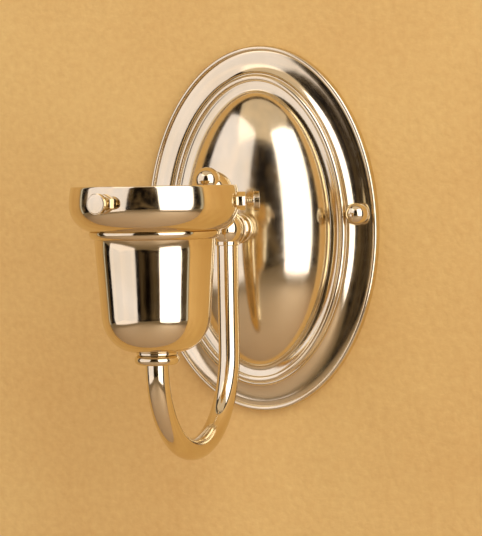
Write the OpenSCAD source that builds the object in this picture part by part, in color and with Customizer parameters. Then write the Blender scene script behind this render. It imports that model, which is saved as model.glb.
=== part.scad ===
// Single-light electric wall bracket in polished brass: oval stepped backplate,
// U-shaped tube arm, shade-fitter cup with three thumbscrews and a lamp socket.
// Frame: the wall is the plane y = 0, the room is on the -Y side, Z is up.
// The origin is the centre of the mounting crossbar's back face.

/* [Backplate] */
// Width of the oval backplate
plate_w = 102; // [98:1:124]
// Height of the oval backplate
plate_h = 152; // [136:1:184]
// Sheet thickness of the backplate
plate_t = 0.9; // [0.6:0.1:1.1]
// Width of the stepped moulding, from the edge to the foot of the dome
moulding_w = 19; // [18:0.5:22]
// Height of the rolled edge above the wall
edge_h = 3.6; // [3.4:0.1:5]
// Height of the low side of the cove above the wall
cove_h = 3.1; // [2.9:0.1:3.4]
// Height of the arris at the top of the cove
arris_h = 6.9; // [5:0.1:8]
// Height of the bead inside the arris
bead_h = 7.7; // [6.8:0.1:9]
// Height of the flat channel round the dome
channel_h = 6.6; // [5:0.1:8]
// Height of the foot of the dome
dome_foot = 7.8; // [7:0.1:10]
// Height of the crown of the dome
dome_crown = 25.5; // [22:0.5:27]
// Distance of the plate's centre below the line of the mounting studs
plate_drop = 6; // [0:0.5:8]

/* [Crossbar and studs] */
// Length of the crossbar
bar_l = 95; // [93:0.5:96]
// Width of the crossbar
bar_w = 18; // [15:0.5:22]
// Thickness of the crossbar
bar_t = 1.6; // [1.2:0.1:1.8]
// Distance between the two outlet-box screws
box_pitch = 69.85; // [60:0.05:70]
// Length of each slot for an outlet-box screw
slot_l = 10; // [6:0.5:11]
// Width of each slot for an outlet-box screw
slot_w = 4.6; // [4.3:0.1:5.2]
// Diameter of the wire hole in the middle of the crossbar
wire_hole_d = 11; // [9:0.5:13]
// Distance between the two mounting studs
stud_pitch = 88.9; // [86:0.1:89]
// Diameter of a mounting stud
stud_d = 4.1; // [3.8:0.1:4.4]
// Diameter of the stud holes in the backplate
stud_hole_d = 4.8; // [4.6:0.1:5.2]

/* [Ball nuts] */
// Diameter of a ball nut
ball_nut_d = 9.2; // [8.6:0.1:10]
// Distance of a ball nut's centre in front of its collar's seat
ball_nut_rise = 4.2; // [4:0.1:4.6]
// Diameter of the collar under a ball nut
nut_collar_d = 7.8; // [7:0.1:8]
// Thickness of the collar under a ball nut
nut_collar_t = 0.85; // [0.6:0.05:0.9]
// Room between the collar's seat and the backplate
nut_seat_gap = 0.2; // [0.1:0.05:0.3]

/* [Arm] */
// Distance of the upright leg's axis from the wall
arm_out = 39.2; // [38:0.2:46]
// Distance between the two legs of the arm
leg_pitch = 70; // [62:1:90]
// Distance of the arm's axis below the line of the studs
arm_drop = 5; // [0:0.5:8]
// Distance of the centre of the bend below the arm's axis
bend_drop = 47.9; // [47.4:0.1:70]
// Outer diameter of the arm tube
tube_d = 8.5; // [8:0.1:9.5]
// Wall of the arm tube
tube_wall = 0.8; // [0.5:0.1:1]
// Diameter of the elbow's ball
elbow_ball_d = 13.6; // [12.8:0.2:16]
// Diameter of the elbow's disc
elbow_disc_d = 15; // [14:0.2:18]
// Thickness of the elbow's disc
elbow_disc_t = 1.2; // [0.8:0.1:1.6]
// Depth of the elbow's flat underside below its axis
elbow_foot = 6.4; // [6.2:0.1:6.6]
// Outer diameter of the threaded nipple
nipple_d = 9.5; // [9:0.1:9.8]
// Bore of the threaded nipple
nipple_bore = 6.4; // [6:0.1:6.6]
// Length of the elbow's hub behind its axis
hub_l = 5.7; // [5:0.1:7]
// Diameter of the finial's ball
finial_d = 16.4; // [12:0.2:17]
// Diameter of the finial's knob
finial_knob_d = 10.2; // [8:0.2:11]
// Distance of the finial's ball from the elbow's centre
finial_out = 21.3; // [20:0.1:22]

/* [Cup] */
// Distance of the cup's rim above the arm's axis
rim_rise = 17.7; // [17.2:0.1:18.2]
// Height of the cup
cup_h = 60.3; // [60:0.1:60.8]
// Sheet thickness of the cup
cup_t = 1; // [0.6:0.1:1.3]
// Outer radius of the cup at its widest
bowl_r = 30.9; // [29.5:0.1:34]
// Amount by which the lip rolls in
lip_in = 0.7; // [0:0.1:1]
// Outer radius of the body just under the bead
body_top_r = 22.1; // [21.5:0.1:23.5]
// Outer radius of the body at its lower end
body_low_r = 20; // [19.5:0.1:21.4]
// Height of the upper collar ring
ring_t = 1.1; // [0.8:0.1:1.4]
// Diameter of the upper collar ring
ring_d = 15.1; // [13:0.1:16]
// Height of the collar bead
collar_t = 3.6; // [3:0.1:3.8]
// Diameter of the collar bead
collar_d = 16.5; // [14:0.1:18]

/* [Thumbscrews] */
// Diameter of a thumbscrew's shank
shank_d = 2.8; // [2.4:0.1:3.2]
// Distance of the screws below the rim
screw_drop = 6; // [5:0.1:6.5]
// Direction of the first screw, from straight out of the wall
screw_phase = -8; // [-60:1:60]
// Distance across the flats of a boss
boss_af = 6; // [5:0.1:7]
// Distance from the cup's axis to a boss's outer face
boss_out = 33.3; // [33:0.1:36]
// Distance from the cup's axis to a screw's tip
tip_r = 29; // [28:0.1:29.4]
// Length of thread that shows between a boss and a head
thread_gap = 2.8; // [2.8:0.1:4]
// Diameter of a thumbscrew's head
head_d = 7.2; // [6.4:0.1:9]
// Thickness of a thumbscrew's head
head_t = 2.35; // [2.2:0.05:3]

/* [Socket] */
// Outer diameter of the socket's body
socket_d = 32; // [30:0.5:34]
// Height of the socket's main body
socket_h = 28; // [27:0.5:29]
// Inner radius of the socket's screw shell
shell_r = 13.3; // [13.2:0.05:13.6]
// Wall of the screw shell
shell_wall = 0.4; // [0.3:0.05:0.5]
// Height of the screw shell
shell_h = 20.5; // [16:0.5:21]
// Distance of the socket's top below the rim
socket_drop = 14.7; // [14.2:0.1:15.5]
// Thickness of the socket's bracket
bracket_t = 1.2; // [0.8:0.1:1.4]
// Diameter of an insulated lead
lead_d = 2.2; // [1.8:0.1:2.4]

/* [Hidden] */
$fn = 64;

brass = [0.80, 0.62, 0.33];
steel = [0.75, 0.75, 0.73];
porcelain = [0.93, 0.92, 0.88];

// Clearances: a fixed joint, a running fit and a cut that runs past a face
fixed_gap = 0.05;
run_gap = 0.05;
past = 1;

// Places that everything else follows
arm_z = -arm_drop;
plate_z = -plate_drop;
leg_y = -arm_out;
cup_y = -arm_out - leg_pitch;
bend_r = leg_pitch / 2;
bend_y = leg_y - bend_r;
bend_z = arm_z - bend_drop;
rim_z = arm_z + rim_rise;
cup_floor = rim_z - cup_h;
ring_foot = cup_floor - ring_t;
collar_foot = ring_foot - collar_t;
screw_z = rim_z - screw_drop;

// ---- Backplate ----
rings_n = 48;
rim_r = 1.1;
cove_in = 2 * rim_r + 0.1;
arris_in = 11.7;
bead_in = 13.6;
bead_r = 1.4;
dome_cut = 16;

// A point on the oval, moved inwards along its normal by inset
function oval(a, inset) =
    let (hw = plate_w / 2, hh = plate_h / 2,
         nx = hh * cos(a), nz = hw * sin(a), n = norm([nx, nz]))
    [hw * cos(a) - inset * nx / n, hh * sin(a) - inset * nz / n];

// A ring of points on the plate: the inset oval shrunk by k, at height h
function plate_ring(inset, h, k = 1) =
    [for (i = [0 : rings_n - 1])
        let (p = oval(i * 360 / rings_n, inset)) [p[0] * k, -h, plate_z + p[1] * k]];

// Height of the cove's surface at fraction u of its quarter turn
function cove(u) = [cove_in + (arris_in - cove_in) * sin(90 * u),
                    cove_h + (arris_h - cove_h) * (1 - cos(90 * u))];

// Shrink and height of the dome at the angle f, dome_cut at its foot, 90 at its crown
function dome(f, drop) =
    let (s = (sin(f) - sin(dome_cut)) / (1 - sin(dome_cut)))
    [cos(f) / cos(dome_cut), dome_foot - drop + (dome_crown - dome_foot) * s];

front_profile = concat(
    [[0, 0]],
    [for (a = [180 : -40 : 20]) [rim_r * (1 + cos(a)), edge_h - rim_r * (1 - sin(a))]],
    [for (u = [0 : 0.25 : 1]) cove(u)],
    [[arris_in + 0.4, arris_h - 0.3]],
    [for (a = [160 : -35 : 20]) [bead_in + bead_r * cos(a), bead_h - bead_r * (1 - sin(a))]],
    [[bead_in + bead_r + 0.3, channel_h], [moulding_w - 0.7, channel_h]]);
back_profile = concat(
    [[plate_t, 0], [plate_t, edge_h - rim_r - plate_t / 2], [cove_in, cove_h - plate_t]],
    [for (u = [0.4 : 0.3 : 1]) let (c = cove(u)) [c[0], c[1] - plate_t]],
    [[bead_in - bead_r + 0.4, channel_h - plate_t], [moulding_w, channel_h - plate_t]]);
dome_front = [for (f = [dome_cut : 11 : 82]) dome(f, 0)];
dome_back = [for (f = [dome_cut + 6 : 11 : 88]) dome(f, plate_t)];

// Height of the plate's front at a distance x from its upright axis
function front_at(x) = let (inset = plate_w / 2 - x)
    inset < moulding_w ? lookup(inset, front_profile)
        : dome_foot + (dome_crown - dome_foot) * dome_share(x / (plate_w / 2 - moulding_w));

// Share of the dome's rise at a share k of its half width
function dome_share(k) = (sqrt(1 - pow(k * cos(dome_cut), 2)) - sin(dome_cut)) / (1 - sin(dome_cut));

// How far the dome's inside has fallen away from its crown at a distance x
function inside_drop(x) =
    (dome_crown - dome_foot) * (1 - dome_share(x / (plate_w / 2 - moulding_w - plate_t)));

plate_rings = concat(
    [for (i = [len(dome_back) - 1 : -1 : 0])
        plate_ring(moulding_w + plate_t, dome_back[i][1], dome_back[i][0])],
    [for (i = [len(back_profile) - 1 : -1 : 0])
        plate_ring(back_profile[i][0], back_profile[i][1])],
    [for (p = front_profile) plate_ring(p[0], p[1])],
    [for (d = dome_front) plate_ring(moulding_w, d[1], d[0])]);

module plate_shell() {
    m = len(plate_rings);
    points = concat([[0, -(dome_crown - plate_t), plate_z]],
                    [for (r = plate_rings) each r],
                    [[0, -dome_crown, plate_z]]);
    last = len(points) - 1;
    wrap = function (j) j % rings_n;
    faces = concat(
        [for (j = [0 : rings_n - 1]) [0, 1 + j, 1 + wrap(j + 1)]],
        [for (i = [0 : m - 2], j = [0 : rings_n - 1])
            let (a = 1 + i * rings_n, b = a + rings_n) [a + j, b + j, b + wrap(j + 1)]],
        [for (i = [0 : m - 2], j = [0 : rings_n - 1])
            let (a = 1 + i * rings_n, b = a + rings_n) [a + j, b + wrap(j + 1), a + wrap(j + 1)]],
        [for (j = [0 : rings_n - 1])
            let (a = 1 + (m - 1) * rings_n) [a + j, last, a + wrap(j + 1)]]);
    polyhedron(points, faces, convexity = 8);
}

// Turns children so that their +Z points out of the wall
module outward(x = 0, z = 0) translate([x, 0, z]) rotate([90, 0, 0]) children();

module backplate() color(brass) difference() {
    plate_shell();
    outward(0, arm_z) cylinder(h = dome_crown + past, d = nipple_d + 2 * fixed_gap + 0.3);
    for (s = [-1, 1])
        outward(s * stud_pitch / 2) cylinder(h = dome_crown, d = stud_hole_d);
}

// ---- Crossbar, studs and ground screw ----
stud_past_centre = 2.1;
ground_x = 16;
ground_d = 3.4;

// A slot: a block between two round ends
module slot(l, w, h) {
    translate([-(l - w) / 2, -w / 2, 0]) cube([l - w, w, h]);
    for (s = [-1, 1]) translate([s * (l - w) / 2, 0, 0]) cylinder(h = h, d = w);
}

module crossbar() color(steel) outward() difference() {
    intersection() {
        translate([-bar_l / 2, -bar_w / 2, 0]) cube([bar_l, bar_w, bar_t]);
        cylinder(h = bar_t, d = bar_l);
    }
    for (s = [-1, 1]) {
        translate([s * box_pitch / 2, 0, -past]) slot(slot_l, slot_w, bar_t + 2 * past);
        translate([s * stud_pitch / 2, 0, -past]) cylinder(h = bar_t + 2 * past, d = stud_d);
    }
    translate([0, 0, -past]) cylinder(h = bar_t + 2 * past, d = wire_hole_d);
    translate([ground_x, 0, -past]) cylinder(h = bar_t + 2 * past, d = ground_d);
}

module mounting_studs() color(brass) for (s = [-1, 1])
    outward(s * stud_pitch / 2) cylinder(h = ball_nut_h + stud_past_centre, d = stud_d);

module ground_screw() color("green") outward(ground_x) {
    cylinder(h = bar_t, d = ground_d);
    translate([0, 0, bar_t]) difference() {
        cylinder(h = 2.2, d = 7, $fn = 6);
        translate([-4, -0.5, 1.4]) cube([8, 1, past]);
    }
}

// ---- Ball nuts on the studs ----
collar_reach = [for (i = [-4 : 4]) front_at(stud_pitch / 2 + i * nut_collar_d / 8)];
nut_seat_h = max(collar_reach) + nut_seat_gap;
ball_nut_h = nut_seat_h + ball_nut_rise;

module nut_collar(s) color(brass) outward(s * stud_pitch / 2) translate([0, 0, nut_seat_h])
    difference() {
        cylinder(h = nut_collar_t, d = nut_collar_d);
        translate([0, 0, -past])
            cylinder(h = nut_collar_t + 2 * past, d = stud_d + 2 * run_gap);
    }

module ball_nut(s) color(brass) outward(s * stud_pitch / 2) difference() {
    translate([0, 0, ball_nut_h]) sphere(d = ball_nut_d);
    cylinder(h = nut_seat_h + nut_collar_t + run_gap, d = 2 * ball_nut_d);
    cylinder(h = ball_nut_h + stud_past_centre + 0.5, d = stud_d + 2 * run_gap);
}

module nut_collar_left() nut_collar(-1);
module nut_collar_right() nut_collar(1);
module ball_nut_left() ball_nut(-1);
module ball_nut_right() ball_nut(1);

// ---- Arm root: nipple, nuts, elbow and finial ----
washer_d = 16;
washer_t = 1;
lock_nut_t = 3;
check_nut_t = 2.4;
check_nut_d = 12.4;
hub_back = arm_out - hub_l;
nipple_grip = 4.4;
washer_seat = dome_crown - plate_t - inside_drop(washer_d / 2) - 0.3;
nipple_from = washer_seat - washer_t - lock_nut_t - 1;
nipple_to = hub_back + nipple_grip;
leg_seat = nipple_d / 2 + 0.15;

module arm_axis() outward(0, arm_z) children();

module tube_ring(h, d, bore) difference() {
    cylinder(h = h, d = d);
    translate([0, 0, -past]) cylinder(h = h + 2 * past, d = bore);
}

module arm_nipple() color(brass) arm_axis()
    translate([0, 0, nipple_from]) tube_ring(nipple_to - nipple_from, nipple_d, nipple_bore);

module arm_check_nut() color(brass) arm_axis()
    translate([0, 0, dome_crown]) tube_ring(check_nut_t, check_nut_d, nipple_d);

module nipple_washer() color(steel) arm_axis()
    translate([0, 0, washer_seat - washer_t]) tube_ring(washer_t, washer_d, nipple_d);

module hex_nut(af, h, bore) difference() {
    cylinder(h = h, d = af / cos(30), $fn = 6);
    translate([0, 0, -past]) cylinder(h = h + 2 * past, d = bore);
}

module nipple_lock_nut() color(brass) arm_axis()
    translate([0, 0, washer_seat - washer_t - lock_nut_t]) hex_nut(13, lock_nut_t, nipple_d);

module heel_axis() translate([0, leg_y, arm_z]) rotate([45, 0, 0]) children();

heel_seat = 9.6;
heel_boss_d = 9.4;
heel_stud_d = 5;
leg_boss_d = tube_d + 1;
wireway_d = 6.4;

module arm_elbow() color(brass) difference() {
    union() {
        intersection() {
            translate([0, leg_y, arm_z]) sphere(d = elbow_ball_d);
            translate([-15, leg_y - 15, arm_z - elbow_foot]) cube(30);
        }
        translate([0, leg_y, arm_z - elbow_foot]) cylinder(h = elbow_foot, d = leg_boss_d);
        arm_axis() {
            translate([0, 0, hub_back]) cylinder(h = hub_l, d1 = 11.6, d2 = 13.2);
            translate([0, 0, arm_out - 2]) cylinder(h = elbow_disc_t, d = elbow_disc_d);
        }
        heel_axis() cylinder(h = heel_seat, d = heel_boss_d);
    }
    translate([0, leg_y, arm_z - elbow_foot - 3]) cylinder(h = elbow_foot - leg_seat + 3, d = tube_d);
    translate([0, leg_y, arm_z - elbow_foot]) cylinder(h = elbow_foot, d = wireway_d);
    arm_axis() {
        translate([0, 0, hub_back - 3]) cylinder(h = nipple_grip + 3, d = nipple_d);
        translate([0, 0, hub_back]) cylinder(h = hub_l, d = wireway_d);
    }
    translate([0, leg_y, arm_z]) sphere(d = wireway_d + 1.6);
    heel_axis() cylinder(h = heel_seat + past, d = heel_stud_d);
}

module elbow_finial() color(brass) heel_axis() {
    translate([0, 0, 4.6]) cylinder(h = heel_seat - 4.6, d = heel_stud_d);
    translate([0, 0, heel_seat]) cylinder(h = 1.2, d = heel_boss_d);
    translate([0, 0, heel_seat + 1.2]) cylinder(h = 4, d = 7.2);
    translate([0, 0, finial_out]) sphere(d = finial_d);
    translate([0, 0, finial_out + 0.4 * finial_d - 0.3]) sphere(d = finial_knob_d);
}

// ---- Arm tube and collar ----
far_top = arm_z - leg_seat;
near_top = cup_floor + 7.2;

module u_solid(d, extra = 0) {
    translate([0, leg_y, bend_z]) cylinder(h = far_top - bend_z + extra, d = d);
    translate([0, cup_y, bend_z]) cylinder(h = near_top - bend_z + extra, d = d);
    translate([0, bend_y, bend_z]) rotate([0, 90, 0]) rotate([0, 0, -90])
        rotate_extrude(angle = 180) translate([bend_r, 0]) circle(d = d, $fn = 48);
}

module arm_tube() color(brass) difference() {
    u_solid(tube_d);
    u_solid(tube_d - 2 * tube_wall, past);
}

module cup_axis(z = 0) translate([0, cup_y, z]) children();

module collar_bead() color(brass) cup_axis(collar_foot) rotate_extrude() difference() {
    union() {
        translate([0, 0]) square([collar_d / 2 - collar_t / 2, collar_t]);
        translate([collar_d / 2 - collar_t / 2, collar_t / 2]) circle(d = collar_t, $fn = 32);
    }
    translate([-collar_d, -past]) square([collar_d + tube_d / 2, collar_t + 2 * past]);
}

module collar_ring() color(brass) cup_axis(ring_foot) tube_ring(ring_t, ring_d, tube_d);

// ---- Cup ----
bowl_arc = 10.1;
bowl_low = 6.7;
bead_arc = 2.4;
bead_low = 16.9;
body_from = 19.4;
body_to = 46;
turn_r = 12;

// Half of the cup's outline, moved inwards by t; depth is measured down from the rim
function cup_line(t) = concat(
    [for (u = [0 : 0.25 : 1]) [bowl_r - lip_in * (1 - u) * (1 - u) - t, -bowl_low * u]],
    [for (a = [-10 : -8 : -74])
        [bowl_r - bowl_arc + (bowl_arc - t) * cos(a), -bowl_low + (bowl_arc - t) * sin(a)]],
    [for (a = [8 : -12 : -76])
        [body_top_r - 0.5 + (bead_arc - t) * cos(a), -bead_low + (bead_arc - t) * sin(a)]],
    [[body_top_r - t, -body_from]],
    [for (a = [0 : -10 : -90])
        [body_low_r - turn_r + (turn_r - t) * cos(a), -body_to + (cup_h - body_to - t) * sin(a)]]);

module cup_solid(t = 0) cup_axis(rim_z) rotate_extrude()
    polygon(concat([[0, 0]], cup_line(t), [[0, -cup_h + t]]));

module cup() color(brass) difference() {
    cup_axis(rim_z) rotate_extrude() {
        outer = cup_line(0);
        inner = cup_line(cup_t);
        hole = tube_d / 2 + fixed_gap;
        polygon(concat(outer, [[hole, -cup_h], [hole, -cup_h + cup_t]],
                       [for (i = [len(inner) - 1 : -1 : 0]) inner[i]]));
    }
    for (k = [0 : 2]) at_screw(k) translate([0, 0, tip_r - 3])
        cylinder(h = 12, d = shank_d + 2 * run_gap);
}

module cup_lock_nut() color(brass) cup_axis(cup_floor + cup_t) hex_nut(14, lock_nut_t, tube_d);

// ---- Socket ----
socket_top = rim_z - socket_drop;
socket_foot = socket_top - socket_h;
base_h = 7;
base_w = 19;
bracket_foot = cup_floor + cup_t + lock_nut_t;
// The shell stands on a ledge, and the contact lies in a deeper, narrower well
cavity_h = shell_h + 4.5;
tab_w = 9;

module socket_bracket() color(steel) cup_axis() {
    difference() {
        union() {
            translate([-base_w / 2 - bracket_t, -tab_w / 2, bracket_foot])
                cube([base_w + 2 * bracket_t, tab_w, bracket_t]);
            translate([0, 0, bracket_foot]) cylinder(h = 3, d = 12);
        }
        translate([0, 0, bracket_foot - past]) cylinder(h = 10, d = tube_d);
    }
    for (s = [-1, 1]) difference() {
        translate([s * (base_w + bracket_t) / 2 - bracket_t / 2, -tab_w / 2, bracket_foot + bracket_t])
            cube([bracket_t, tab_w, socket_foot - 0.6 - bracket_foot - bracket_t]);
        translate([s * base_w / 2, 0, socket_foot - base_h / 2])
            rotate([0, s * 90, 0]) translate([0, 0, -past]) cylinder(h = 5, d = 3);
    }
}

module bracket_screws() color(steel) cup_axis(socket_foot - base_h / 2) for (s = [-1, 1])
    translate([s * base_w / 2, 0, 0]) rotate([0, s * 90, 0]) {
        translate([0, 0, -4]) cylinder(h = 4 + bracket_t, d = 3);
        translate([0, 0, bracket_t]) cylinder(h = 1.2, d = 5);
    }

terminal_y = 12.4;

module socket_body() color(porcelain) cup_axis() difference() {
    union() {
        translate([0, 0, socket_foot]) cylinder(h = socket_h, d = socket_d);
        translate([-base_w / 2, -7, socket_foot - base_h]) cube([base_w, 14, base_h]);
    }
    translate([0, 0, socket_top - cavity_h]) cylinder(h = cavity_h + past, r = shell_r - 1.8);
    translate([0, 0, socket_top - shell_h - 0.5])
        cylinder(h = shell_h + 0.5 + past, r = shell_r + shell_wall + 0.1);
    for (s = [-1, 1]) {
        translate([s * (base_w / 2 - 4), 0, socket_foot - base_h / 2])
            rotate([0, s * 90, 0]) cylinder(h = 5, d = 3);
        translate([0, s * terminal_y, socket_foot - past]) cylinder(h = 3.5, d = 3);
    }
    translate([7.5, 0, socket_top - cavity_h - 1.5]) cylinder(h = 2.5, d = 2.4);
}

module socket_shell() color(brass) cup_axis(socket_top - shell_h - 0.5)
    tube_ring(shell_h, 2 * (shell_r + shell_wall), 2 * shell_r);

// A sprung strip held by a rivet at one end, raised under the lamp's tip
module socket_contact() color(brass) cup_axis(socket_top - cavity_h) {
    translate([0, 2.4, 0]) rotate([90, 0, 0]) linear_extrude(4.8) polygon([
        [10, 0], [10, 0.5], [5.2, 0.5], [2.2, 3.2], [-2.2, 3.2], [-4, 1.6],
        [-4, 0.9], [-1.9, 2.7], [2, 2.7], [5, 0]]);
    translate([7.5, 0, -1.5]) cylinder(h = 1.5, d = 2.4);
    translate([7.5, 0, 0.5]) cylinder(h = 0.6, d = 3.6);
}

module terminal_screws() color(brass) cup_axis(socket_foot) for (s = [-1, 1])
    translate([0, s * terminal_y, 0]) {
        cylinder(h = 2.5, d = 3);
        translate([0, 0, -1.6]) cylinder(h = 1.6, d = 5.4);
    }

// ---- Leads from the terminals, through the arm, into the plate's hollow ----
lead_x = 1.35;
elbow_turn = 3;

function arc_points(cy, cz, r, from, to, n) =
    [for (i = [0 : n]) let (a = from + (to - from) * i / n) [cy + r * cos(a), cz + r * sin(a)]];

// The shared route in the plane of the arm, from the socket to the dome
lead_plane = concat(
    [[cup_y, near_top - 1.6], [cup_y, bend_z + 6]],
    arc_points(bend_y, bend_z, bend_r, 180, 360, 18),
    [[leg_y, bend_z + 12], [leg_y, (bend_z + arm_z) / 2], [leg_y, arm_z - elbow_turn - 5]],
    arc_points(leg_y + elbow_turn, arm_z - elbow_turn, elbow_turn, 180, 90, 4),
    [[-nipple_from - 2, arm_z], [-nipple_from + 1, arm_z]]);

// The whole route of one lead: side is the arm's +X or -X, end the terminal's side in Y
function lead_route(side, end) = concat(
    [[side * 0.6, cup_y + end * (terminal_y - 3.9), socket_foot - 2.6],
     [side * 2, cup_y + end * (terminal_y - 3.4), socket_foot - base_h + 1],
     [side * 3, cup_y + end * 7.8, socket_foot - base_h - 1.3],
     [side * 2.4, cup_y + end * 4.2, near_top + 1.8],
     [side * 1.6, cup_y + end * 1.3, near_top + 0.7]],
    [for (p = lead_plane) [side * lead_x, p[0], p[1]]],
    [[side * 3.5, -nipple_from + 3.2, arm_z - 0.6], [side * 8, -nipple_from + 5.6, arm_z - 2],
     [side * 14, -nipple_from + 7, arm_z - 3], [side * 20, -nipple_from + 7.4, arm_z - 3]]);

function unit(v) = v / norm(v);
function tangent(p, i) = unit(p[min(i + 1, len(p) - 1)] - p[max(i - 1, 0)]);
function carried(n, t) = unit(n - (n * t) * t);
// The side vector carried along the route, so that the tube doesn't twist
function carry(p, i) = i == 0 ? carried([1, 0.3, 0], tangent(p, 0))
                              : carried(carry(p, i - 1), tangent(p, i));

module lead(p) {
    sides = 8;
    rings = [for (i = [0 : len(p) - 1])
        let (t = tangent(p, i), u = carry(p, i), v = cross(t, u))
        [for (j = [0 : sides - 1])
            p[i] + lead_d / 2 * (cos(j * 360 / sides) * u + sin(j * 360 / sides) * v)]];
    n = len(p);
    polyhedron([for (r = rings) each r], concat(
        [[for (j = [sides - 1 : -1 : 0]) j]],
        [for (i = [0 : n - 2], j = [0 : sides - 1])
            let (a = i * sides, b = a + sides, k = (j + 1) % sides) [a + j, a + k, b + k, b + j]],
        [[for (j = [0 : sides - 1]) (n - 1) * sides + j]]), convexity = 10);
}

module lead_black() color([0.08, 0.08, 0.08]) lead(lead_route(1, 1));
module lead_white() color([0.9, 0.9, 0.88]) lead(lead_route(-1, -1));

// ---- Thumbscrews ----
spigot_d = 1.8;
spigot_l = 1.6;
head_in = boss_out + thread_gap;

module at_screw(k) translate([0, cup_y, screw_z])
    rotate([0, 0, screw_phase + 120 * k]) rotate([90, 0, 0]) children();

module rim_bosses() color(brass) difference() {
    for (k = [0 : 2]) at_screw(k) translate([0, 0, bowl_r - 1.5])
        hex_nut(boss_af, boss_out - bowl_r + 1.5, shank_d + 2 * run_gap);
    cup_solid();
}

module screw_shank(k) color(brass) at_screw(k) {
    translate([0, 0, tip_r]) cylinder(h = head_in - tip_r, d = shank_d);
    translate([0, 0, head_in]) cylinder(h = spigot_l, d = spigot_d);
}

module screw_head(k) color(brass) at_screw(k) difference() {
    translate([0, 0, head_in]) cylinder(h = head_t, d = head_d);
    translate([0, 0, head_in - past]) cylinder(h = spigot_l + 0.1 + past, d = spigot_d + 2 * run_gap);
    for (a = [0 : 15 : 345]) rotate([0, 0, a]) translate([head_d / 2, 0, head_in - past])
        cylinder(h = head_t + 2 * past, d = 0.5, $fn = 4);
}

module screw_shank_1() screw_shank(0);
module screw_shank_2() screw_shank(1);
module screw_shank_3() screw_shank(2);
module screw_head_1() screw_head(0);
module screw_head_2() screw_head(1);
module screw_head_3() screw_head(2);

backplate();
crossbar();
mounting_studs();
ground_screw();
arm_nipple();
arm_check_nut();
nipple_washer();
nipple_lock_nut();
arm_elbow();
elbow_finial();
arm_tube();
collar_bead();
collar_ring();
cup();
cup_lock_nut();
socket_bracket();
bracket_screws();
socket_body();
socket_shell();
socket_contact();
terminal_screws();
lead_black();
lead_white();
rim_bosses();
screw_shank_1();
screw_shank_2();
screw_shank_3();
screw_head_1();
screw_head_2();
screw_head_3();
nut_collar_left();
nut_collar_right();
ball_nut_left();
ball_nut_right();
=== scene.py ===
# %% [markdown]
# # A polished brass wall sconce
# The bracket is a set of turned, bent and pressed brass pieces on a steel bar. The
# CAD model gives each piece its size and place, and this lesson makes the pieces
# that show again as smooth meshes, because a mirror finish shows every flat facet.

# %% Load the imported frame
import math

import bpy
from mathutils import Matrix, Vector


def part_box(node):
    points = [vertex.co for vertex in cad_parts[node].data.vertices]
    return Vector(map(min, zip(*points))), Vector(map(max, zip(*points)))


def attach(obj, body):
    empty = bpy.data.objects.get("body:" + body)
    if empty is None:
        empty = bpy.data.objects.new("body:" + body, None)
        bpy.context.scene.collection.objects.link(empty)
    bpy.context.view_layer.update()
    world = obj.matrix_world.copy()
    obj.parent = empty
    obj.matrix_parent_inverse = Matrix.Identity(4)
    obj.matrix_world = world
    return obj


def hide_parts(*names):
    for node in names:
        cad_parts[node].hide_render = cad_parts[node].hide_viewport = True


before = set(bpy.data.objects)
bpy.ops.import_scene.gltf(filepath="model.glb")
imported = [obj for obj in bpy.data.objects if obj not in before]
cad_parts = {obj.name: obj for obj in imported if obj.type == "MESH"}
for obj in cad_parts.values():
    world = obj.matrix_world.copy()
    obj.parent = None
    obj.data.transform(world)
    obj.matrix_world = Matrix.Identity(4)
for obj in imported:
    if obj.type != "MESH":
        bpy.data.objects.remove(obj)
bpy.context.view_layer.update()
MM = 0.001

# %% [markdown]
# ## Places
# Every place comes from the CAD nodes. A node's box gives its two ends along an
# axis, so a turned piece needs only its axis and its outline. Heights on the
# backplate are measured out of the wall, which is the plane y = 0. A bore is FIT
# wider in radius than what runs through it.

# %% Axes and heights in mm
def span(node, axis):
    """The lowest and highest value of a node along x, y or z, in mm."""
    low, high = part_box(node)
    k = "xyz".index(axis)
    return low[k] / MM, high[k] / MM


def middle(node, axis):
    low, high = span(node, axis)
    return (low + high) / 2


cup_y = middle("collar_bead", "y")
rim_z = span("cup", "z")[1]
floor_z = span("cup", "z")[0]
arm_z = middle("arm_nipple", "z")
tube_r = span("arm_tube", "x")[1]
leg_y = span("arm_tube", "y")[1] - tube_r
plate_z = middle("backplate", "z")
dome_crown = -span("arm_check_nut", "y")[1]
FIT = 0.05
print("cup axis y", round(cup_y, 2), "leg y", round(leg_y, 2), "crown", round(dome_crown, 2))

# %% [markdown]
# ## Turned work
# Most of the bracket is turned on a lathe or spun over a form, so one helper
# covers it: a single point is extruded along half of the outline and spun round Z.
# The doubles on the axis are merged, which closes the poles, and only then are the
# normals recalculated.

# %% Start, turn, place and join pieces
def deselect_all():
    if bpy.context.object and bpy.context.object.mode == "EDIT":
        bpy.ops.object.mode_set(mode="OBJECT")
    bpy.ops.object.select_all(action="DESELECT")


def pick(piece):
    deselect_all()
    piece.select_set(True)
    bpy.context.view_layer.objects.active = piece


def edit(piece):
    pick(piece)
    bpy.ops.object.mode_set(mode="EDIT")
    bpy.ops.mesh.select_all(action="SELECT")


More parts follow.
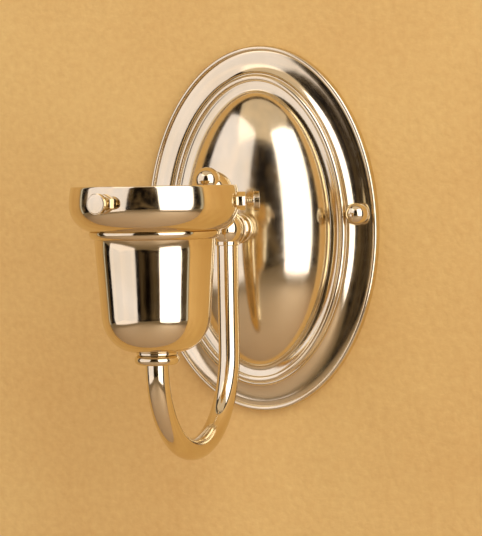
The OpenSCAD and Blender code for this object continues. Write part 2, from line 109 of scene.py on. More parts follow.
def turned(outline, steps=96):
    """A closed outline of (radius, height) in mm, spun round Z."""
    deselect_all()
    bpy.ops.mesh.primitive_plane_add(size=MM)
    piece = bpy.context.object
    edit(piece)
    bpy.ops.mesh.merge(type="CENTER")
    radius, height = outline[0]
    bpy.ops.transform.translate(value=(radius * MM, 0, height * MM))
    for (r0, h0), (r1, h1) in zip(outline, outline[1:]):
        bpy.ops.mesh.extrude_region_move(
            TRANSFORM_OT_translate={"value": ((r1 - r0) * MM, 0, (h1 - h0) * MM)})
    bpy.ops.mesh.select_all(action="SELECT")
    bpy.ops.mesh.spin(steps=steps, angle=2 * math.pi, center=(0, 0, 0), axis=(0, 0, 1))
    bpy.ops.mesh.select_all(action="SELECT")
    bpy.ops.mesh.remove_doubles(threshold=1e-6)
    bpy.ops.mesh.normals_make_consistent(inside=False)
    bpy.ops.object.mode_set(mode="OBJECT")
    return piece


def put(piece, x=0, y=0, z=0, turn=(0, 0, 0)):
    """Turns a piece by degrees, moves it by mm, and leaves its place in its mesh."""
    pick(piece)
    piece.rotation_euler = [math.radians(a) for a in turn]
    piece.location = (x * MM, y * MM, z * MM)
    bpy.ops.object.transform_apply(location=True, rotation=True, scale=True)
    return piece


def joined(*pieces):
    pick(pieces[0])
    for piece in pieces:
        piece.select_set(True)
    bpy.ops.object.join()
    return bpy.context.object


def twin(piece):
    """A copy with its own mesh."""
    pick(piece)
    bpy.ops.object.duplicate()
    return bpy.context.object


def apply_modifier(piece, kind, **settings):
    pick(piece)
    modifier = piece.modifiers.new(kind.title(), kind)
    for key, value in settings.items():
        setattr(modifier, key, value)
    bpy.ops.object.modifier_apply(modifier=modifier.name)


def arc(r, h, radius, start, end, steps, tall=None):
    """Outline points on a circle, or on an ellipse when tall is given."""
    tall = radius if tall is None else tall
    turns = [math.radians(start + (end - start) * i / steps) for i in range(steps + 1)]
    return [(r + radius * math.cos(a), h + tall * math.sin(a)) for a in turns]


def thread(radius, depth, pitch, start, end):
    """The crests and roots of a thread along an outline, from start to end."""
    turns = int((end - start) / pitch)
    points = []
    for i in range(turns):
        foot = start + i * pitch
        points += [(radius - depth, foot), (radius, foot + 0.35 * pitch),
                   (radius, foot + 0.55 * pitch)]
    return points + [(radius - depth, start + turns * pitch)]


print("helpers are ready")

# %% [markdown]
# ## Shader helpers
# Shader maths reads best as plain expressions. A small class wraps a socket, and
# each operator adds its Math node, so that 1 - mask works. Every other node comes
# from one method that takes its type, its settings and the values of its sockets.

# %% Expressions on sockets
class Value:
    def __init__(self, finish, socket):
        self.finish = finish
        self.socket = socket

    def maths(self, operation, first, second):
        return self.finish.node("ShaderNodeMath", {"operation": operation},
                                {0: first, 1: second})

    def __add__(self, other):
        return self.maths("ADD", self, other)

    def __sub__(self, other):
        return self.maths("SUBTRACT", self, other)

    def __rsub__(self, other):
        return self.maths("SUBTRACT", other, self)

    def __mul__(self, other):
        return self.maths("MULTIPLY", self, other)

    __radd__ = __add__
    __rmul__ = __mul__


class Finish:
    """One material, its node tree and its shader."""

    def __init__(self, name, **constants):
        self.material = bpy.data.materials.new(name)
        self.material.use_nodes = True
        self.tree = self.material.node_tree
        self.shader = self.tree.nodes["Principled BSDF"]
        for key, value in constants.items():
            self.set(key.replace("_", " "), value)
        self.object_place = Value(self, self.tree.nodes.new("ShaderNodeTexCoord").outputs["Object"])

    def set(self, name, value):
        self.feed(self.shader.inputs[name], value)

    def feed(self, socket, value):
        if isinstance(value, Value):
            self.tree.links.new(value.socket, socket)
        else:
            socket.default_value = value

    def node(self, kind, settings=None, sockets=None, output=0):
        made = self.tree.nodes.new(kind)
        for key, value in (settings or {}).items():
            setattr(made, key, value)
        for key, value in (sockets or {}).items():
            self.feed(made.inputs[key], value)
        return Value(self, made.outputs[output])

    def noise(self, scale, detail=3.0, place=None):
        return self.node("ShaderNodeTexNoise", None,
                         {"Vector": place or self.object_place, "Scale": scale, "Detail": detail})

    def limits(self, value, low, high):
        """Maps the middle of a noise from 0..1 to low..high and clamps it."""
        return self.node("ShaderNodeMapRange", {"clamp": True},
                         {"Value": value, "From Min": 0.3, "From Max": 0.7,
                          "To Min": low, "To Max": high})

    def mixed(self, factor, first, second):
        return self.node("ShaderNodeMix", {"data_type": "RGBA"},
                         {0: factor, 6: first, 7: second}, output=2)

    def bump(self, height, strength, distance):
        self.set("Normal", self.node("ShaderNodeBump", None,
                 {"Strength": strength, "Distance": distance, "Height": height}))


print("shader helpers are ready")

# %% [markdown]
# ## The brass
# The sconce is polished and lacquered brass. Such a surface is almost a mirror: its
# colour is in its reflections, and what tells it from chrome is the warm tint. A
# buffed surface is never quite even, so the roughness drifts a little, a fine bump
# keeps long reflections from being ruler straight, and the tint deepens in patches.

# %% Polished brass
def polished_brass(name, light=(0.80, 0.70, 0.49, 1), deep=(0.73, 0.61, 0.39, 1), rough=0.06):
    finish = Finish(name, Metallic=1.0)
    cloud = finish.noise(38.0)
    haze = finish.noise(260.0, 4.0)
    finish.set("Base Color", finish.mixed(finish.limits(cloud, 0.0, 1.0), light, deep))
    finish.set("Roughness", finish.limits(haze, rough, rough + 0.06))
    finish.bump(finish.noise(95.0, 2.0), 0.05, 0.0006)
    return finish.material


brass = polished_brass("polished brass")
spun_brass = polished_brass("spun brass of the plate", rough=0.11)
old_brass = polished_brass("plain brass inside", (0.74, 0.57, 0.31, 1), (0.62, 0.45, 0.22, 1), 0.2)
print("brass:", brass.name, "-", spun_brass.name, "-", old_brass.name)

# %% [markdown]
# ## The hidden finishes
# Behind the plate there is a zinc-plated steel bar with a green ground screw. The
# socket in the cup is glazed porcelain, and two plastic-covered wires run to it.

# %% Steel, porcelain, green paint and insulation
def zinc_plate():
    finish = Finish("zinc-plated steel", Metallic=1.0)
    bloom = finish.noise(420.0, 5.0)
    finish.set("Base Color", finish.mixed(finish.limits(bloom, 0.0, 1.0),
                                          (0.66, 0.66, 0.63, 1), (0.50, 0.49, 0.44, 1)))
    finish.set("Roughness", finish.limits(bloom, 0.28, 0.44))
    finish.bump(finish.noise(1500.0), 0.15, 0.0001)
    return finish.material


def glazed_porcelain():
    finish = Finish("glazed porcelain", Coat_Weight=0.6, Coat_Roughness=0.05)
    speck = finish.noise(700.0, 5.0)
    finish.set("Base Color", finish.mixed(finish.limits(speck, 0.0, 1.0),
                                          (0.86, 0.85, 0.80, 1), (0.80, 0.78, 0.71, 1)))
    finish.set("Roughness", finish.limits(speck, 0.2, 0.34))
    finish.bump(finish.noise(300.0), 0.08, 0.0003)
    return finish.material


def plastic(name, light, deep, rough):
    finish = Finish(name)
    grain = finish.noise(900.0, 4.0)
    finish.set("Base Color", finish.mixed(finish.limits(grain, 0.0, 1.0), light, deep))
    finish.set("Roughness", finish.limits(grain, rough, rough + 0.12))
    finish.bump(grain, 0.1, 0.0001)
    return finish.material


zinc = zinc_plate()
porcelain = glazed_porcelain()
green_paint = plastic("green ground screw", (0.03, 0.22, 0.06, 1), (0.02, 0.15, 0.04, 1), 0.35)
black_cover = plastic("black insulation", (0.02, 0.02, 0.02, 1), (0.03, 0.03, 0.03, 1), 0.4)
white_cover = plastic("white insulation", (0.80, 0.79, 0.75, 1), (0.72, 0.70, 0.65, 1), 0.4)

# %% [markdown]
# ## Finishing a piece
# A piece is named, smoothed except at its real edges, given its finish, and tied to
# the CAD body it moves with, and the CAD nodes it stands for are hidden.

# %% Name, smooth, paint and attach
def finished(piece, name, material, body, *nodes, crease=32):
    pick(piece)
    bpy.ops.object.shade_smooth_by_angle(angle=math.radians(crease))
    piece.name = piece.data.name = name
    piece.data.materials.clear()
    piece.data.materials.append(material)
    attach(piece, body)
    if nodes:
        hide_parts(*nodes)
    print(name, "has", len(piece.data.polygons), "faces")
    return piece


ROOT = "bracket"

# %% [markdown]
# ## The backplate
# The plate is one brass sheet pressed over a form: a rolled edge, a hollow cove, a
# bead, a flat channel and a tall oval dome. Each step keeps the same distance from
# the edge all round, which is just what Inset does to an oval face, so the plate is
# grown from an oval by inset after inset. The dome is the last oval drawn in towards
# its crown. Solidify gives the sheet its thickness.

# %% Press the oval plate
half_w = span("backplate", "x")[1]
half_h = (span("backplate", "z")[1] - span("backplate", "z")[0]) / 2
sheet = 0.9
edge_r, edge_h = 1.1, 3.6
cove_in, cove_h = 2.3, 3.1
arris_in, arris_h = 11.7, 6.9
bead_in, bead_r, bead_h = 13.6, 1.4, 7.7
channel_h = 6.6
dome_in, dome_h, dome_cut = 19.0, 7.8, 16.0


def plate_steps():
    """(distance in from the edge, height above the wall) up to the dome's foot."""
    steps = [(0.0, 0.0)]
    steps += arc(edge_r, edge_h - edge_r, edge_r, 180, 12, 9)
    cove = [math.radians(90 * i / 14) for i in range(15)]
    steps += [(cove_in + (arris_in - cove_in) * math.sin(u),
               cove_h + (arris_h - cove_h) * (1 - math.cos(u))) for u in cove[1:]]
    steps += [(arris_in + 0.25, arris_h - 0.05), (arris_in + 0.45, arris_h - 0.3)]
    steps += arc(bead_in, bead_h - bead_r, bead_r, 160, 15, 10)
    steps += [(bead_in + bead_r + 0.25, channel_h + 0.1), (bead_in + bead_r + 0.6, channel_h),
              (dome_in - 0.9, channel_h), (dome_in - 0.35, channel_h + 0.25),
              (dome_in, dome_h)]
    return steps


deselect_all()
bpy.ops.mesh.primitive_circle_add(vertices=192, radius=1, fill_type="NGON")
plate = bpy.context.object
edit(plate)
bpy.ops.transform.resize(value=(half_w * MM, half_h * MM, 1))
steps = plate_steps()
for (d0, h0), (d1, h1) in zip(steps, steps[1:]):
    if d1 - d0 < 0.01:
        bpy.ops.mesh.extrude_region_move(
            TRANSFORM_OT_translate={"value": (0, 0, (h1 - h0) * MM)})
    else:
        bpy.ops.mesh.inset(thickness=(d1 - d0) * MM, depth=(h1 - h0) * MM)
print("moulding steps:", len(steps))

# %% Raise the dome and give the sheet its thickness
def dome_level(angle):
    """How far the oval has shrunk and how high the dome is, at an angle up its side."""
    low = math.sin(math.radians(dome_cut))
    rise = (math.sin(math.radians(angle)) - low) / (1 - low)
    shrink = math.cos(math.radians(angle)) / math.cos(math.radians(dome_cut))
    return shrink, dome_h + (dome_crown - dome_h) * rise


levels = [dome_level(dome_cut + (89.2 - dome_cut) * i / 40) for i in range(41)]
for (k0, h0), (k1, h1) in zip(levels, levels[1:]):
    bpy.ops.mesh.extrude_region_move(TRANSFORM_OT_translate={"value": (0, 0, (h1 - h0) * MM)})
    bpy.ops.transform.resize(value=(k1 / k0, k1 / k0, 1), center_override=(0, 0, h1 * MM))
bpy.ops.mesh.merge(type="CENTER")
bpy.ops.mesh.select_all(action="SELECT")
bpy.ops.mesh.normals_make_consistent(inside=False)
bpy.ops.object.mode_set(mode="OBJECT")
put(plate, z=plate_z, turn=(90, 0, 0))
apply_modifier(plate, "SOLIDIFY", thickness=sheet * MM, offset=-1, use_even_offset=True)
finished(plate, "backplate_shell", spun_brass, ROOT, "backplate")

# %% [markdown]
# ## The cup
# The shade's cup is spun from sheet: an open lip, a round bowl, a small bead below
# it and a tapered body with a rounded bottom. Its outline is drawn down the outside,
# in through the hole for the arm, and up the inside one sheet further in.

# %% Spin the cup
cup_h = rim_z - floor_z
cup_sheet = 1.0
bowl_r, lip_in = 30.9, 0.7
bowl_arc, bowl_low = 10.1, 6.7
bead_arc, bead_low, bead_out, body_start = 2.4, 16.9, 21.6, 19.4
body_top, body_low, body_end, turn_r = 22.1, 20.0, 46.0, 12.0


def cup_line(inset, first):
    """Half of the cup from the lip down, moved in by inset and starting at a depth."""
    lip = [(bowl_r - lip_in * (1 - u) ** 2 - inset, -bowl_low * u)
           for u in [first / bowl_low] + [i / 8 for i in range(1, 9)]]
    bowl = arc(bowl_r - bowl_arc, -bowl_low, bowl_arc - inset, -5, -74, 15)
    bead = arc(bead_out, -bead_low, bead_arc - inset, 8, -76, 14)
    body = [(body_top - inset - (body_top - body_low) * i / 6,
             -body_start - (body_end - body_start) * i / 6) for i in range(6)]
    bottom = arc(body_low - turn_r, -body_end, turn_r - inset, 0, -90, 22,
                 tall=cup_h - body_end - inset)
    return lip + bowl + bead + body + bottom


outside = cup_line(0.0, 0.35)
inside = cup_line(cup_sheet, 0.35)
hole = tube_r + FIT
lip_top = [(bowl_r - lip_in - cup_sheet + 0.1, -0.1), (bowl_r - lip_in - cup_sheet + 0.35, 0),
           (bowl_r - lip_in - 0.35, 0), (bowl_r - lip_in - 0.1, -0.1)]
outline = (lip_top + outside + [(hole, -cup_h), (hole, -cup_h + cup_sheet)]
           + inside[::-1] + lip_top[:1])
cup = put(turned(outline, 160), y=cup_y, z=rim_z)
finished(cup, "shade_cup", brass, ROOT, "cup")

# %% [markdown]
# ## The collar
# Under the cup a turned bead and a thin ring seat on the arm. Both are solid rings
# with the tube running through them.

# %% Turn the bead and the ring
def ring_outline(outer, bore, height, edge):
    """A ring with rounded outer edges, standing on height zero."""
    return ([(bore, 0)] + arc(outer - edge, edge, edge, -90, 0, 6)
            + arc(outer - edge, height - edge, edge, 0, 90, 6) + [(bore, height), (bore, 0)])


def ring_on_cup(node, name, edge):
    low, high = span(node, "z")
    outer = span(node, "x")[1]
    ring = put(turned(ring_outline(outer, tube_r, high - low, edge)), y=cup_y, z=low)
    finished(ring, name, brass, ROOT, node)


ring_on_cup("collar_bead", "collar_bead_turned", 1.78)
ring_on_cup("collar_ring", "collar_ring_turned", 0.3)

# %% [markdown]
# ## The arm
# The arm is one brass tube bent into a U. A circle of edges is drawn down the far
# leg, spun half a turn round the centre of the bend, and drawn up the near leg, and
# Solidify makes it a tube.

# %% Bend the tube
bend_r = (leg_y - cup_y) / 2
bend_y = (leg_y + cup_y) / 2
bend_z = span("arm_tube", "z")[0] + tube_r + bend_r
far_top = span("arm_tube", "z")[1]
near_top = floor_z + 7.2

deselect_all()
bpy.ops.mesh.primitive_circle_add(vertices=64, radius=tube_r * MM,
                                  location=(0, leg_y * MM, far_top * MM))
arm = bpy.context.object
bpy.ops.object.transform_apply(location=True)
edit(arm)
bpy.ops.mesh.extrude_region_move(
    TRANSFORM_OT_translate={"value": (0, 0, (bend_z - far_top) * MM)})
bpy.ops.mesh.spin(steps=120, angle=math.pi, center=(0, bend_y * MM, bend_z * MM),
                  axis=(1, 0, 0))
bpy.ops.mesh.extrude_region_move(
    TRANSFORM_OT_translate={"value": (0, 0, (near_top - bend_z) * MM)})
bpy.ops.mesh.select_all(action="SELECT")
bpy.ops.mesh.remove_doubles(threshold=1e-6)
bpy.ops.mesh.normals_make_consistent(inside=False)
bpy.ops.object.mode_set(mode="OBJECT")
low = min(v.co.z for v in arm.data.vertices) / MM
print("lowest point of the bend:", round(low, 2), "CAD:", round(span("arm_tube", "z")[0], 2))
apply_modifier(arm, "SOLIDIFY", thickness=0.8 * MM, offset=-1)
finished(arm, "arm_tube_bent", brass, ROOT, "arm_tube")

# %% [markdown]
# ## The elbow and its finial
# A cast elbow joins the arm to the plate: a ball with a flat foot for the tube, a
# tapered hub with a thin disc towards the plate, and a short boss at 45 degrees. The
# finial screws into that boss and closes the hole the wires are pulled through.

# %% Turn the elbow's three branches and join them
hub_back = -span("arm_elbow", "y")[1]
foot = arm_z - span("arm_elbow", "z")[0]
disc_r = span("arm_elbow", "x")[1]
elbow_r = 6.8
boss_r = tube_r + 0.5
tube_stop = 4.9
neck = math.degrees(math.asin(boss_r / elbow_r))
ball = turned(arc(0, 0, elbow_r, 90, neck - 90, 24)
              + [(boss_r, -foot + 0.25), (boss_r - 0.25, -foot), (tube_r, -foot),
                 (tube_r, -tube_stop), (0, -tube_stop)], 72)
put(ball, y=leg_y, z=arm_z)

reach = -leg_y - hub_back
disc_back, disc_front, disc_edge = reach - 2.0, reach - 0.8, 0.35
hub = turned([(0, 0), (5.2, 0), (5.6, 0.2), (5.85, 0.6), (6.3, disc_back - 0.2), (6.5, disc_back)]
             + arc(disc_r - disc_edge, disc_back + disc_edge, disc_edge, -90, 0, 4)
             + arc(disc_r - disc_edge, disc_front - disc_edge, disc_edge, 0, 90, 4)
             + [(0, disc_front)], 72)
put(hub, y=-hub_back, z=arm_z, turn=(90, 0, 0))

heel_r, heel_h, heel_edge = 4.7, 9.6, 0.25
heel = turned([(0, 0), (heel_r, 0), (heel_r, heel_h - heel_edge), (heel_r - heel_edge, heel_h),
               (0, heel_h)], 72)
put(heel, y=leg_y, z=arm_z, turn=(45, 0, 0))
elbow = joined(ball, hub, heel)
finished(elbow, "arm_elbow_cast", brass, ROOT, "arm_elbow")

# %% Turn the finial
finial_out, finial_r, knob_r = 21.3, 8.2, 5.1
knob_out = finial_out + 0.8 * finial_r - 0.3
washer_h = heel_h + 1.2
outline = ([(0, heel_h), (heel_r - heel_edge, heel_h), (heel_r, heel_h + heel_edge),
            (heel_r, washer_h - heel_edge), (heel_r - heel_edge, washer_h),
            (3.75, washer_h + 0.1), (3.45, washer_h + 0.5), (3.4, washer_h + 1.6),
            (3.6, washer_h + 2.5)]
           + arc(0, finial_out, finial_r, -63, 51, 30)
           + arc(0, knob_out, knob_r, 2, 90, 16))
finial = put(turned(outline, 96), y=leg_y, z=arm_z, turn=(45, 0, 0))
finished(finial, "elbow_finial_turned", brass, ROOT, "elbow_finial")

# %% [markdown]
# ## The nipple and its nuts
# A threaded nipple carries the elbow. It runs through the plate's crown, where a thin
# round nut checks it in front and a hexagon nut locks it behind. Its thread shows
# between the round nut and the elbow, so the crests are in the mesh.

# %% Thread the nipple and turn its check nut
nip_back, nip_front = [-v for v in span("arm_nipple", "y")][::-1]
nip_r = span("arm_nipple", "x")[1]
outline = ([(3.2, nip_back)] + thread(nip_r, 0.45, 0.94, nip_back + 0.05, nip_front)
           + [(3.2, nip_front), (3.2, nip_back)])
nipple = put(turned(outline, 64), z=arm_z, turn=(90, 0, 0))
finished(nipple, "nipple_threaded", brass, ROOT, "arm_nipple")

nut_r = span("arm_check_nut", "x")[1]
nut_back, nut_front = [-v for v in span("arm_check_nut", "y")][::-1]
nut = put(turned(ring_outline(nut_r, nip_r - 0.3, nut_front - nut_back, 0.7)), y=-nut_back,
          z=arm_z, turn=(90, 0, 0))
finished(nut, "check_nut_turned", brass, ROOT, "arm_check_nut")

# %% [markdown]
# ## The studs and ball nuts
# Two threaded studs stand on the crossbar, and a ball nut with a thin collar pulls
# the plate to the wall on each. One stud and one nut are made and copied.

# %% Thread the studs
stud_h = -span("mounting_studs", "y")[0]
stud_r = span("mounting_studs", "z")[1]
stud_x = span("mounting_studs", "x")[1] - stud_r
outline = ([(0, 0)] + thread(stud_r, 0.28, 0.794, 0.02, stud_h - 0.5)
           + [(stud_r - 0.6, stud_h), (0, stud_h)])
right_stud = put(turned(outline, 40), x=stud_x, turn=(90, 0, 0))
left_stud = put(twin(right_stud), x=-2 * stud_x)
finished(joined(right_stud, left_stud), "studs_threaded", old_brass, ROOT, "mounting_studs")

# %% Turn the ball nuts and their collars
ball_back = -span("ball_nut_left", "y")[1]
ball_front = -span("ball_nut_left", "y")[0]
ball_r = span("ball_nut_left", "z")[1]
ball_at = ball_front - ball_r
start = -math.degrees(math.asin((ball_at - ball_back) / ball_r))
bore = stud_r + FIT
ball_line = ([(0, stud_h + 0.5), (bore, stud_h + 0.5), (bore, ball_back)]
             + arc(0, ball_at, ball_r, start, 90, 26))
seat = -span("nut_collar_left", "y")[1]
collar_r = span("nut_collar_left", "z")[1]
collar_t = -span("nut_collar_left", "y")[0] - seat
for side, sign in (("left", -1), ("right", 1)):
    nut = put(turned(ball_line, 72), x=sign * stud_x, turn=(90, 0, 0))
    finished(nut, "ball_nut_turned_" + side, brass, "nut_" + side, "ball_nut_" + side)
    collar = put(turned(ring_outline(collar_r, bore, collar_t, 0.3), 72), x=sign * stud_x,
                 y=-seat, turn=(90, 0, 0))
    finished(collar, "nut_collar_turned_" + side, brass, "collar_" + side, "nut_collar_" + side)

# %% [markdown]
# ## The thumbscrews
# Three thumbscrews hold the shade. Each runs in a small hexagon boss on the bowl, has
# a fine thread, and ends in a knurled disc with a raised centre. Every second face
# of the disc's edge is pushed in, which leaves the knurl.

# %% Cut the bosses
screw_z = middle("rim_bosses", "z")
boss_out, boss_in = 33.3, 29.9
boss_across = 6.0
phase = [-8 + 120 * k for k in range(3)]


def on_rim(piece, angle):
    """Lays a piece that stands on Z along a screw's axis, out of the cup."""
    put(piece, turn=(90, 0, 0))
    put(piece, turn=(0, 0, angle))
    return put(piece, y=cup_y, z=screw_z)


bosses = []
for angle in phase:
    deselect_all()
    bpy.ops.mesh.primitive_cylinder_add(
        vertices=6, radius=boss_across / 2 / math.cos(math.pi / 6) * MM,
        depth=(boss_out - boss_in) * MM, location=(0, 0, (boss_out + boss_in) / 2 * MM))
    boss = bpy.context.object
    apply_modifier(boss, "BEVEL", width=0.35 * MM, segments=3, limit_method="ANGLE")
    edit(boss)
    bpy.ops.mesh.select_all(action="DESELECT")
    bpy.ops.object.mode_set(mode="OBJECT")
    for face in boss.data.polygons:
        face.select = face.normal.z > 0.99 and face.area > 4 * MM * MM
    bpy.ops.object.mode_set(mode="EDIT")
    bpy.ops.mesh.inset(thickness=0.75 * MM, depth=0.12 * MM)
    bpy.ops.object.mode_set(mode="OBJECT")
    put(boss, z=(boss_out + boss_in) / 2 - 0.12)
    bosses.append(on_rim(boss, angle))
finished(joined(*bosses), "screw_bosses_hex", brass, ROOT, "rim_bosses", crease=20)

# %% Thread the shanks
tip_at, head_at = 29.0, 36.1
spigot = 1.6
shank_r = 1.4
outline = ([(0, tip_at), (0.95, tip_at), (1.1, tip_at + 0.15)]
           + thread(shank_r, 0.3, 0.635, tip_at + 0.3, head_at - 0.2)
           + [(1.1, head_at), (0.9, head_at), (0.9, head_at + spigot), (0, head_at + spigot)])
for k, angle in enumerate(phase, 1):
    shank = on_rim(turned(outline, 40), angle)
    finished(shank, "thumbscrew_shank_%d" % k, brass, "shank_%d" % k, "screw_shank_%d" % k)

# %% Knurl the heads
head_r, head_t = 3.6, 2.35
crown = 0.35
knurls = 64


def knurled_head():
    deselect_all()
    thick = head_t - crown
    bpy.ops.mesh.primitive_cylinder_add(vertices=knurls, radius=head_r * MM, depth=thick * MM,
                                        location=(0, 0, (head_at + thick / 2) * MM))
    head = put(bpy.context.object, z=head_at + thick / 2)
    edit(head)
    bpy.ops.mesh.select_all(action="DESELECT")
    bpy.ops.object.mode_set(mode="OBJECT")
    for face in head.data.polygons:
        turn = math.degrees(math.atan2(face.center.y, face.center.x)) % 360
        face.select = abs(face.normal.z) < 0.5 and int(turn / (360 / knurls)) % 2 == 0
    bpy.ops.object.mode_set(mode="EDIT")
    bpy.ops.mesh.inset(thickness=0.04 * MM, depth=-0.16 * MM, use_individual=True)
    bpy.ops.mesh.select_all(action="DESELECT")
    bpy.ops.object.mode_set(mode="OBJECT")
    for face in head.data.polygons:
        face.select = face.normal.z > 0.99 and face.center.z > (head_at + thick * 0.9) * MM
    bpy.ops.object.mode_set(mode="EDIT")
    for inset, depth in ((0.12, 0.1), (0.2, 0.08), (0.5, 0.07), (0.12, -0.03), (0.12, 0.03),
                         (0.9, 0.04), (0.9, 0.02)):
        bpy.ops.mesh.inset(thickness=inset * MM, depth=depth * MM)
    bpy.ops.object.mode_set(mode="OBJECT")
    return head


for k, angle in enumerate(phase, 1):
    head = on_rim(knurled_head(), angle)
    finished(head, "thumbscrew_head_%d" % k, brass, "head_%d" % k, "screw_head_%d" % k,
             crease=25)

# %% [markdown]
# ## The lamp socket
# Down in the cup sits a porcelain lamp socket. Its screw shell is thin brass sheet
# rolled into a round thread, so the shell's outline is a wave. It stands on a ledge in
# the porcelain, and the contact lies in a narrower well under it.

# %% Mould the porcelain and roll the shell
top = span("socket_body", "z")[1]
sock_r = span("socket_body", "x")[1]
low = span("socket_body", "z")[0]
base_w, base_d, base_h = 19.0, 14.0, 7.0
foot_z = low + base_h
tall = top - foot_z
ledge, well = 21.0, 25.0
cavity_r, well_r = 13.8, 11.5
outline = ([(0, 0)] + arc(sock_r - 1.2, 1.2, 1.2, -90, 0, 6)
           + [(sock_r, tall * 0.55), (sock_r - 0.5, tall * 0.57), (sock_r - 0.5, tall * 0.62),
              (sock_r, tall * 0.64)]
           + arc(sock_r - 0.9, tall - 0.9, 0.9, 0, 90, 6)
           + arc(cavity_r + 0.4, tall - 0.4, 0.4, 90, 180, 4)
           + [(cavity_r, tall - ledge), (well_r, tall - ledge), (well_r, tall - well),
              (0, tall - well)])
porcelain_body = put(turned(outline, 96), y=cup_y, z=foot_z)
deselect_all()
bpy.ops.mesh.primitive_cube_add(size=1, location=(0, cup_y * MM, (low + base_h / 2) * MM),
                                scale=(base_w * MM, base_d * MM, base_h * MM))
block = put(bpy.context.object, y=cup_y, z=low + base_h / 2)
apply_modifier(block, "BEVEL", width=1.0 * MM, segments=4)
finished(joined(porcelain_body, block), "socket_porcelain", porcelain, ROOT, "socket_body")

shell_low, shell_high = span("socket_shell", "z")
shell_in, shell_out = 13.3, 13.7
pitch, wave, rows = 3.63, 0.18, 84


def shell_wave(radius):
    heights = [shell_low + (shell_high - shell_low) * i / rows for i in range(rows + 1)]
    return [(radius + wave * math.sin(2 * math.pi * (h - shell_low) / pitch), h)
            for h in heights]


outline = shell_wave(shell_in + wave) + shell_wave(shell_out - wave)[::-1]
shell = put(turned(outline + outline[:1], 96), y=cup_y)
finished(shell, "socket_shell_rolled", old_brass, ROOT, "socket_shell", crease=60)

# %% [markdown]
# ## Pieces that keep their CAD shape
# Flat and hexagon pieces are right as the CAD has them: the crossbar, the washer,
# the lock nuts, the socket's bracket and the screws. They only need their finish.

# %% Paint the CAD nodes that stay
KEPT = {"crossbar": zinc, "ground_screw": green_paint, "nipple_washer": zinc,
        "nipple_lock_nut": old_brass, "cup_lock_nut": old_brass, "socket_bracket": zinc,
        "bracket_screws": zinc, "socket_contact": old_brass, "terminal_screws": old_brass,
        "lead_black": black_cover, "lead_white": white_cover}
for node, material in KEPT.items():
    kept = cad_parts[node]
    kept.data.materials.clear()
    kept.data.materials.append(material)
print("CAD nodes that show:", len(KEPT))

# %% [markdown]
# ## The stage
# The sconce hangs on a plain plastered wall over a plain pale floor. The wall has a
# hole behind the plate, as for an outlet box, and is clear when it is seen from
# behind, so that the back of the plate can be looked at.

# %% Wall and floor
WALL_CLEAR = 0.15
HOLE_TUCK = 3


def plaster():
    finish = Finish("warm plaster", Roughness=0.85)
    cloud = finish.noise(9.0, 5.0)
    grain = finish.noise(330.0, 3.0)
    finish.set("Base Color", finish.mixed(finish.limits(cloud * 0.6 + grain * 0.4, 0.0, 1.0),
                                          (0.84, 0.57, 0.19, 1), (0.71, 0.42, 0.125, 1)))
    finish.bump(finish.noise(60.0, 6.0) + grain * 0.5, 0.35, 0.002)
    clear = finish.node("ShaderNodeBsdfTransparent")
    back = finish.node("ShaderNodeNewGeometry", output=6)
    camera = finish.node("ShaderNodeLightPath", output=0)
    mixer = finish.node("ShaderNodeMixShader", None, {
        0: back * camera, 1: Value(finish, finish.shader.outputs[0]), 2: clear})
    finish.feed(finish.tree.nodes["Material Output"].inputs["Surface"], mixer)
    return finish.material


deselect_all()
bpy.ops.mesh.primitive_circle_add(vertices=96, radius=1, fill_type="NOTHING")
wall = bpy.context.object
edit(wall)
bpy.ops.transform.resize(value=((half_w - HOLE_TUCK) * MM, (half_h - HOLE_TUCK) * MM, 1))
bpy.ops.mesh.extrude_region_move()
bpy.ops.transform.resize(value=(40, 28, 1), center_override=(0, 0, 0))
bpy.ops.mesh.select_all(action="SELECT")
bpy.ops.object.mode_set(mode="OBJECT")
put(wall, y=WALL_CLEAR, z=plate_z, turn=(90, 0, 0))
if sum(face.normal.y for face in wall.data.polygons) > 0:
    edit(wall)
    bpy.ops.mesh.flip_normals()
    bpy.ops.object.mode_set(mode="OBJECT")
wall.name = "plaster_wall"
wall.data.materials.append(plaster())

floor_paint = Finish("pale floor", Roughness=0.8)
floor_paint.set("Base Color", (0.56, 0.46, 0.34, 1))
bpy.ops.mesh.primitive_plane_add(size=5, location=(0, 0, -0.75))
floor = bpy.context.object
floor.name = "pale_floor"
floor.data.materials.append(floor_paint.material)
print("stage:", wall.name, "and", floor.name)

# %% [markdown]
# ## Light
# Two large soft boxes stand left and right of the camera, with a dim panel overhead,
# and polished brass shows little else. Between them the room stays dark and patchy,
# which gives the dark lines down the middle of each round piece.

# %% Soft boxes and the room
def soft_box(name, azimuth, distance, height, size, power, shade):
    """A rectangular light that faces the cup. Azimuth is from straight out of the
    wall, towards +X."""
    data = bpy.data.lights.new(name, "AREA")
    data.shape = "RECTANGLE"
    data.size, data.size_y = size
    data.energy = power
    data.color = shade
    lamp = bpy.data.objects.new(name, data)
    bpy.context.scene.collection.objects.link(lamp)
    turn = math.radians(azimuth)
    target = Vector((0, cup_y * MM, 0))
    lamp.location = target + Vector((math.sin(turn) * distance, -math.cos(turn) * distance, height))
    lamp.rotation_euler = (target - lamp.location).to_track_quat("-Z", "Y").to_euler()
    lamp.visible_camera = False
    return lamp


soft_box("left soft box", -44, 1.25, 0.33, (1.6, 1.9), 12, (0.84, 0.80, 0.92))
soft_box("right soft box", 54, 1.25, 0.33, (1.15, 1.9), 19, (0.88, 0.86, 0.96))
soft_box("overhead panel", 5, 0.6, 1.25, (1.9, 1.2), 5, (1.0, 0.82, 0.66))

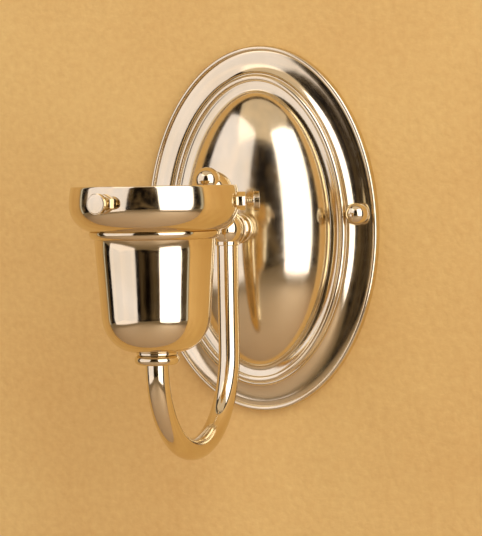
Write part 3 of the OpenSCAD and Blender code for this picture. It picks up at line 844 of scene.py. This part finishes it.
class Room(Finish):
    """The world. It is lit by direction, and has no places."""

    def __init__(self, name):
        world = bpy.data.worlds.new(name)
        world.use_nodes = True
        bpy.context.scene.world = world
        self.tree = world.node_tree
        self.shader = self.tree.nodes["Background"]
        self.direction = Value(self, self.tree.nodes.new("ShaderNodeTexCoord").outputs["Generated"])


def dark_room():
    """Brown gloom in front of the wall, a pale grey behind it and as a backdrop."""
    room = Room("dark room")
    depth = room.node("ShaderNodeSeparateXYZ", None, {0: room.direction}, output=1)
    behind = depth.maths("GREATER_THAN", depth, 0.0)
    camera = room.node("ShaderNodeLightPath", output=0)
    patches = room.node("ShaderNodeMapRange", None, {
        "Value": room.noise(4.5, 3.0, room.direction), "From Min": 0.42, "From Max": 0.72})
    gloom = room.mixed(patches, (0.004, 0.002, 0.001, 1), (0.19, 0.125, 0.065, 1))
    backdrop = behind.maths("MAXIMUM", behind, camera)
    room.set("Color", room.mixed(backdrop, gloom, (0.62, 0.58, 0.52, 1)))


dark_room()
bpy.context.scene.view_settings.view_transform = "Standard"

# %% [markdown]
# ## The camera
# The camera stands to the right of the sconce, a little above it, with a long lens.
# Its matrix is built from the direction it looks in and a small roll.

# %% Aim the camera
def aimed(azimuth, yaw, pitch, roll):
    """Camera axes for a heading right of straight on, then a turn, a tilt and a roll."""
    azimuth, yaw, pitch, roll = [math.radians(a) for a in (azimuth, yaw, pitch, roll)]
    side = Vector((math.cos(azimuth), math.sin(azimuth), 0))
    ahead = Vector((-math.sin(azimuth), math.cos(azimuth), 0))
    up = Vector((0, 0, 1))
    look = ahead * math.cos(yaw) + side * math.sin(yaw)
    right = side * math.cos(yaw) - ahead * math.sin(yaw)
    look = (look * math.cos(pitch) - up * math.sin(pitch)).normalized()
    level_up = right.cross(look)
    right = (right * math.cos(roll) + level_up * math.sin(roll)).normalized()
    return Matrix((right, right.cross(look), -look)).transposed()


camera_data = bpy.data.cameras.new("camera")
camera_data.lens = 125.7
camera = bpy.data.objects.new("camera", camera_data)
bpy.context.scene.collection.objects.link(camera)
camera.matrix_world = Matrix.Translation((0.2799, -0.7291, 0.0127)) @ aimed(
    21.0, -0.68, 2.56, -0.98).to_4x4()
bpy.context.scene.camera = camera
print("camera at", [round(v, 3) for v in camera.matrix_world.translation])
